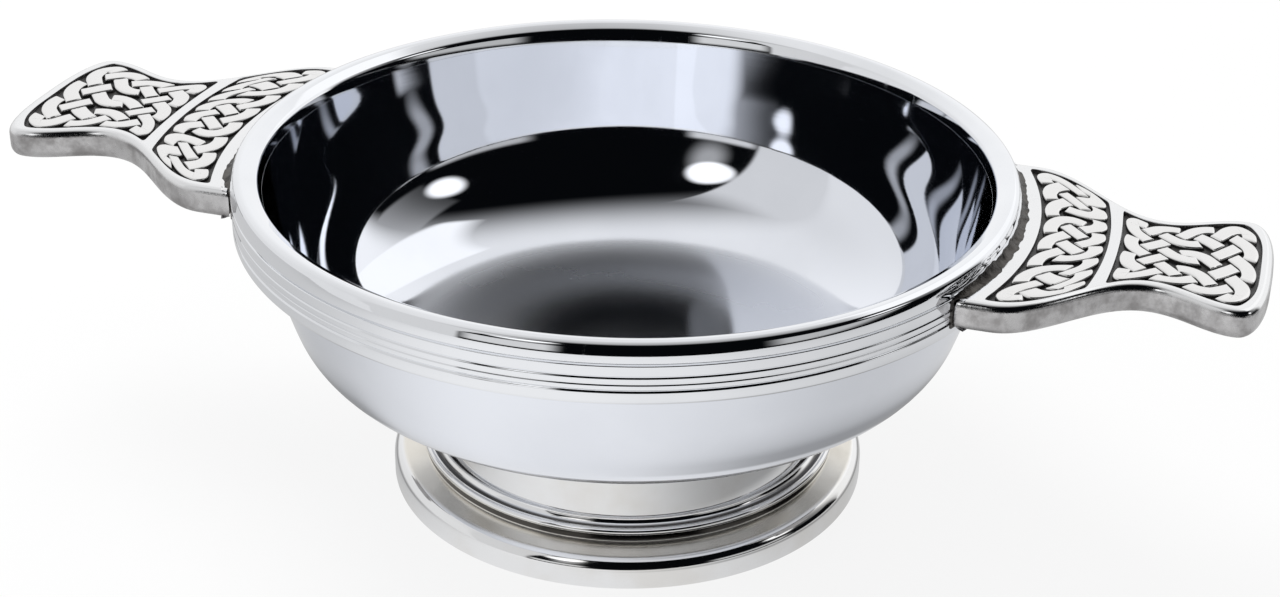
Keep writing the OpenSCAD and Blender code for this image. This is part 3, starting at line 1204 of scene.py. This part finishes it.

# %% [markdown]
# ## The cast lugs
# A lug comes from the mould with a grey, grainy skin. The way the surface faces sets its colour and gloss:
# the more it faces up, the lighter and smoother it is, and the sides are darker. Two materials would meet
# in a line, so the change is soft.

# %% Cast pewter
LUG_HAZE = 160.0
RUBBED = 0.09
RUBBED_HAZE = 0.10
cast, tree, surface = new_finish("lug_pewter", (0.80, 0.79, 0.78), 0.3)
casting = lay(tree, skin)
touch = lay(tree, haze, LUG_HAZE)
facing = node(tree, "ShaderNodeSeparateXYZ")
feed(tree, node(tree, "ShaderNodeNewGeometry").outputs["Normal"], facing.inputs[0])
faces_up = spread(tree, facing.outputs["Z"], 0.15, 0.75)
rough_side = weighed(tree, 0.24, (casting["Mottle"], 0.16))
rough_top = weighed(tree, RUBBED, (touch["Haze"], RUBBED_HAZE))
feed(tree, blend(tree, faces_up, rough_side, rough_top, "FLOAT"), surface["Roughness"])
# Darker on the sides and underneath, lighter where the surface faces up, by the direction it faces.
side_tone = blend(tree, casting["Mottle"], (0.60, 0.595, 0.60), (0.36, 0.35, 0.35))
feed(tree, blend(tree, faces_up, side_tone, (0.85, 0.855, 0.865)), surface["Base Color"])
grain_left = calc(tree, "SUBTRACT", 1.15, faces_up)
bump(tree, surface, times(tree, casting["Height"], grain_left), 0.04)
print("lug finish", len(tree.nodes), "nodes")

# %% [markdown]
# ## Blacking and solder
# The blackened ground, the rough solder at the lugs and the cleaner solder rings are all dull skins that
# differ in tone, gloss and grain. So one function makes the three, with the casting's skin as their
# relief.

# %% Dull skins


def dull_skin(name, colour, dark, pale, grain, rough, swing, deep, metallic=1.0):
    """A skin of two tones; swing is how much rougher the pale tone is, deep its relief in millimetres."""
    made, tree, surface = new_finish(name, colour, rough + swing / 2, metallic)
    casting = lay(tree, skin, grain)
    feed(tree, blend(tree, casting["Mottle"], dark, pale), surface["Base Color"])
    feed(tree, weighed(tree, rough, (casting["Mottle"], swing)), surface["Roughness"])
    bump(tree, surface, casting["Height"], deep)
    return made


black = dull_skin("lug_blacking", (0.012, 0.012, 0.013), dark=(0.008, 0.008, 0.009),
                  pale=(0.030, 0.028, 0.026), grain=1600.0, rough=0.35, swing=0.2, deep=0.06, metallic=0.0)
rough_solder = dull_skin("lug_solder", (0.45, 0.44, 0.43), dark=(0.015, 0.013, 0.012),
                         pale=(0.16, 0.15, 0.14), grain=900.0, rough=0.32, swing=0.2, deep=0.16)
clean_solder = dull_skin("solder_ring", (0.7, 0.69, 0.68), dark=(0.62, 0.61, 0.60),
                         pale=(0.76, 0.755, 0.75), grain=700.0, rough=0.12, swing=0.12, deep=0.01)
wear((right_body, left_body), cast, black)
wear((right_black, left_black), black)
wear((right_seam, left_seam), rough_solder)
wear((rim_seam, foot_seam), clean_solder)

# %% [markdown]
# ## The ribbons' finish
# The blacking was brushed over the whole panel and then rubbed off the ribbons, so they are bright on top
# and black down their sides. Height decides, with a little unevenness, because a rubbed edge is never
# straight.

# %% Ribbons, polished on top and black below
POLISH_DEEP = 0.14
POLISH_FADE = 0.08
BLACK_ROUGH = 0.35
ribbon_finish, tree, surface = new_finish("ribbon_pewter", (0.82, 0.815, 0.81), 0.12)
touch = lay(tree, haze, LUG_HAZE)
casting = lay(tree, skin)
x, y, z = axes(tree)
uneven = times(tree, calc(tree, "SUBTRACT", casting["Mottle"], 0.5), POLISH_FADE * MM)
top = (LUG_TOP - RIBBON_PLAY) * MM
shiny = spread(tree, calc(tree, "ADD", z, uneven), top - (POLISH_DEEP + POLISH_FADE) * MM,
               top - POLISH_DEEP * 0.5 * MM)
feed(tree, blend(tree, shiny, (0.012, 0.011, 0.010), (0.83, 0.825, 0.82)), surface["Base Color"])
feed(tree, shiny, surface["Metallic"])
blackened = calc(tree, "SUBTRACT", 1.0, shiny)
dull = weighed(tree, RUBBED, (touch["Haze"], RUBBED_HAZE), (blackened, BLACK_ROUGH))
feed(tree, dull, surface["Roughness"])
bump(tree, surface, casting["Height"], 0.006)
wear((right_ribbons, left_ribbons), ribbon_finish)

# %% [markdown]
# ## The table
# The quaich stands on a white table, which the picture shows as plain white with a soft shadow. A
# brighter lamp would bleach the metal too, so the table itself shines a little for the camera and for
# mirrors. In a mirror it is less bright on the sides away from the lamp and under the bowl.

# %% Table
WHITE = (1.0, 1.0, 1.0)
TABLE_HALF = 3
SHINES = 0.85


def glow(tree, kind, colour, strength):
    """A shining shader of a kind; colour and strength are values or sockets."""
    made = node(tree, kind)
    feed(tree, colour, made.inputs["Color"])
    feed(tree, strength, made.inputs["Strength"])
    return made.outputs[0]


def mixed(tree, share, first, second):
    """One shader over another by a share."""
    made = node(tree, "ShaderNodeMixShader")
    for socket, value in zip(made.inputs, (share, first, second)):
        feed(tree, value, socket)
    return made.outputs[0]


def seen(tree):
    """One for the camera, for mirrors and for glass."""
    ray = node(tree, "ShaderNodeLightPath").outputs
    return most(tree, ray["Is Camera Ray"], ray["Is Glossy Ray"], ray["Is Transmission Ray"])


table_mesh = bpy.data.meshes.new("table_top")
table_corners = [(u * TABLE_HALF, v * TABLE_HALF, 0) for u, v in ((-1, -1), (1, -1), (1, 1), (-1, 1))]
table_mesh.from_pydata(table_corners, [], [(0, 1, 2, 3)])
table = put("table_top", table_mesh)
table_white, tree, surface = new_finish("table_white", (0.85, 0.85, 0.85), 0.6, metallic=0.0)
fleck = lay(tree, haze, 6.0)
feed(tree, blend(tree, fleck["Haze"], (0.86, 0.86, 0.86), (0.84, 0.84, 0.84)), surface["Base Color"])
x, y, z = axes(tree)
about = bearing_of(tree, x, y)
# Painted light and shade: in mirrors the table's glow is brighter on the lamp's side and darker on the
# other, with a painted shadow under the bowl.
lamp_side = spread(tree, about, -75.0, -15.0, 0.55, 0.92)
dark_side = spread(tree, about, 8.0, 80.0, 0.0, 0.28)
under_bowl = between(tree, distance(tree, x, y), (37.0, 41.0), (48.0, 62.0), MM)
shade = most(tree, spread(tree, about, -65.0, -45.0, 0.45, 0.0), spread(tree, about, 0.0, 60.0, 0.0, 0.52))
shade = calc(tree, "SUBTRACT", 1.0, times(tree, under_bowl, shade))
level = times(tree, calc(tree, "SUBTRACT", lamp_side, dark_side), shade)
level = most(tree, level, node(tree, "ShaderNodeLightPath").outputs["Is Camera Ray"])
shining = glow(tree, "ShaderNodeEmission", WHITE, level)
lit = mixed(tree, times(tree, seen(tree), SHINES), tree.nodes["Principled BSDF"].outputs[0], shining)
feed(tree, lit, tree.nodes["Material Output"].inputs["Surface"])
wear((table,), table_white)

# %% [markdown]
# ## The room's light
# Even light from all round keeps the colours true. A row of lamps would do, but the world's own
# background is simpler, and it shows plain white to the camera.

# %% Room
ROOM_LIGHT = 0.75
world = bpy.data.worlds.new("studio")
bpy.context.scene.world = world
world.use_nodes = True
room = world.node_tree
even_light = room.nodes["Background"]
feed(room, WHITE, even_light.inputs["Color"])
feed(room, ROOM_LIGHT, even_light.inputs["Strength"])
backdrop = glow(room, "ShaderNodeBackground", WHITE, 1.0)
seen_room = mixed(room, seen(room), even_light.outputs[0], backdrop)
feed(room, seen_room, room.nodes["World Output"].inputs["Surface"])
print("room light", ROOM_LIGHT)

# %% [markdown]
# ## What the mirror sees
# A mirror shows the whole room, so its dark parts matter as much as the lamps. A dome of card stands
# round the table, which only mirror rays see. Separate cards and boxes would do as well, but on a dome
# every one of them is a patch with a bearing and a rise, and easy to move.

# %% Dome of card
DOME_R = 1.5
dome_shape = bmesh.new()
bmesh.ops.create_uvsphere(dome_shape, u_segments=96, v_segments=48, radius=DOME_R)
bmesh.ops.delete(dome_shape, geom=[v for v in dome_shape.verts if v.co.z < -1e-4], context="VERTS")
dome_mesh = bpy.data.meshes.new("card_dome")
dome_shape.to_mesh(dome_mesh)
dome_shape.free()
dome = put("card_dome", dome_mesh)
dome.rotation_euler.z = CAMERA_AZIMUTH
dome.visible_camera = False
dome.visible_diffuse = False
dome.visible_shadow = False
dome.visible_transmission = False
dome.visible_volume_scatter = False
card, tree, surface = new_finish("dome_card", (0.8, 0.8, 0.8), 0.8, metallic=0.0)
tree.nodes.remove(tree.nodes["Principled BSDF"])
to_right, ahead, upwards = axes(tree)
rise = calc(tree, "DEGREES", calc(tree, "ARCTAN2", upwards, distance(tree, to_right, ahead)))
about = bearing_of(tree, to_right, ahead)
print("dome", len(dome_mesh.polygons), "faces")

# %% [markdown]
# ## White paper and walls
# The far half of the room is white paper that fades to black overhead, towards the camera. Two walls
# beside the bowl catch some of the lamps' light. Painted as soft-edged windows, they give the bowl its
# pale bands.

# %% Paper and walls


def window(tree, value, low, high, soft):
    """One between two limits, with soft edges."""
    return between(tree, value, (low - soft, low + soft), (high - soft, high + soft))


DARK_BEARING = math.radians(20.0)
towards = calc(tree, "SUBTRACT", times(tree, to_right, math.sin(DARK_BEARING)),
               times(tree, ahead, math.cos(DARK_BEARING)))
over = calc(tree, "DEGREES", calc(tree, "ARCTAN2", upwards, towards))
paper = times(tree, spread(tree, over, 75.0, 115.0, 0.0, 0.87), spread(tree, rise, 28.0, 55.0, 1.15, 1.0),
              spread(tree, to_right, -0.9 * DOME_R, -0.2 * DOME_R, 0.8, 1.0))
left_wall = times(tree, window(tree, about, low=-142.0, high=-45.5, soft=1.2),
                  spread(tree, rise, 58.0, 80.0, 0.70, 0.2))
slant = calc(tree, "ADD", rise, times(tree, about, 0.8))
right_wall = times(tree, window(tree, about, low=106.0, high=156.0, soft=3.0),
                   spread(tree, slant, 131.0, 138.0, 0.0, 1.1), spread(tree, rise, 54.0, 66.0, 1.0, 0.0))
right_low = times(tree, spread(tree, about, 82.0, 134.0, 0.05, 0.62),
                  window(tree, rise, low=22.0, high=45.0, soft=1.5),
                  window(tree, about, low=84.0, high=150.0, soft=2.0))
print("paper and walls", len(tree.nodes), "nodes")

# %% [markdown]
# ## Softboxes and ledges
# Two softboxes shine out of the dark half and leave the bright spots on the bowl's wall, and low ledges
# near the table draw streaks. The left box is dimmer where one mirror shows it in another, which keeps
# the bowl's floor as dark as in the picture. A trace of blue keeps the dark from being dead black.

# %% Boxes, ledges and the sum of it all
BOX_SHINES = 1.2


def oval(tree, middle, half, soft):
    """A soft-edged oval on the dome; middle and half are pairs of bearing and rise, in degrees."""
    off_across = calc(tree, "DIVIDE", calc(tree, "SUBTRACT", about, middle[0]), half[0])
    off_up = calc(tree, "DIVIDE", calc(tree, "SUBTRACT", rise, middle[1]), half[1])
    return spread(tree, distance(tree, off_across, off_up), 1.0 - soft, 1.0 + soft, 1.0, 0.0)


depth = node(tree, "ShaderNodeLightPath").outputs["Ray Depth"]
first_mirror = spread(tree, depth, 1.4, 1.6, 1.0, 0.1)
left_box = times(tree, oval(tree, (-34.0, 46.0), (10.5, 11.0), soft=0.2), first_mirror)
right_box = oval(tree, (78.5, 32.0), (8.0, 7.5), soft=0.3)
streak = times(tree, oval(tree, (-29.0, 32.0), (6.0, 13.0), soft=0.7), 0.4)
left_ledge = times(tree, window(tree, about, low=-44.0, high=-20.0, soft=3.0), 0.7)
right_ledge = times(tree, window(tree, about, low=38.0, high=76.0, soft=4.0), 0.5)
ledges = times(tree, calc(tree, "ADD", left_ledge, right_ledge),
               window(tree, rise, low=5.0, high=15.0, soft=1.5))
cards = most(tree, paper, right_wall, right_low, left_wall, streak, ledges)
bright = weighed(tree, cards, (most(tree, left_box, right_box), BOX_SHINES))
both = node(tree, "ShaderNodeAddShader")
feed(tree, glow(tree, "ShaderNodeEmission", WHITE, bright), both.inputs[0])
feed(tree, glow(tree, "ShaderNodeEmission", (0.65, 0.78, 1.0), 0.003), both.inputs[1])
feed(tree, both.outputs[0], tree.nodes["Material Output"].inputs["Surface"])
wear((dome,), card)

# %% [markdown]
# ## The lamp
# One large lamp, above, behind and to the left, gives the soft shadow at the foot. A sun would draw a
# hard edge. Mirrors don't see it, since the dome has softboxes of its own.

# %% Lamp
key_data = bpy.data.lights.new("key_softbox", "AREA")
key_data.shape = "RECTANGLE"
key_data.size = 0.5
key_data.size_y = 0.5
key_data.energy = 4.0
key = put("key_softbox", key_data)
key.location = (-0.3, 0.2, 0.8)
key.rotation_mode = "QUATERNION"
key.rotation_quaternion = (-key.location).to_track_quat("-Z", "Y")
key.visible_glossy = False
bpy.context.scene.view_settings.view_transform = "Standard"
print("lamp", key_data.energy, "watts")
